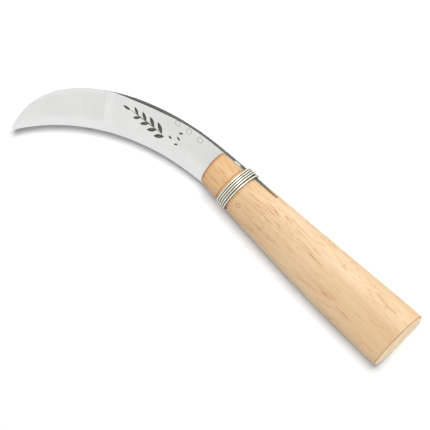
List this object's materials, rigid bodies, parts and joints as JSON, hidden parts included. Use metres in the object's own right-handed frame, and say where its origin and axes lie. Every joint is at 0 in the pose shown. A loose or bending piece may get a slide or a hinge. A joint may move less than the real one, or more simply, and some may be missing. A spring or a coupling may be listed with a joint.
{
  "type": "hand sickle",
  "caption": "One-hand sickle: forged crescent blade whose broad tang sits in a saw kerf of a flared oval wooden handle, bound with wire at the neck and pegged.",
  "frame": {"origin": "centre of the handle's sawn butt, at half the handle's thickness", "axes": "+X along the handle towards the blade, +Y towards the cutting-edge side, +Z away from the blade's flat back"},
  "size_m": [0.2415, 0.0863, 0.0192],
  "materials": {
    "forged_steel": "ground and satin polished faces, dark forge scale left on the back, brighter ground bevel",
    "handle_wood": "sanded bare pale hardwood, straight grain with short darker pores",
    "binding_wire": "bright tinned soft wire",
    "peg_wood": "bare wood, end grain"
  },
  "bodies": {
    "root": {"blade": "forged_steel", "handle": "handle_wood", "wire_binding": "binding_wire", "tang_peg": "peg_wood"}
  },
  "joints": []
}
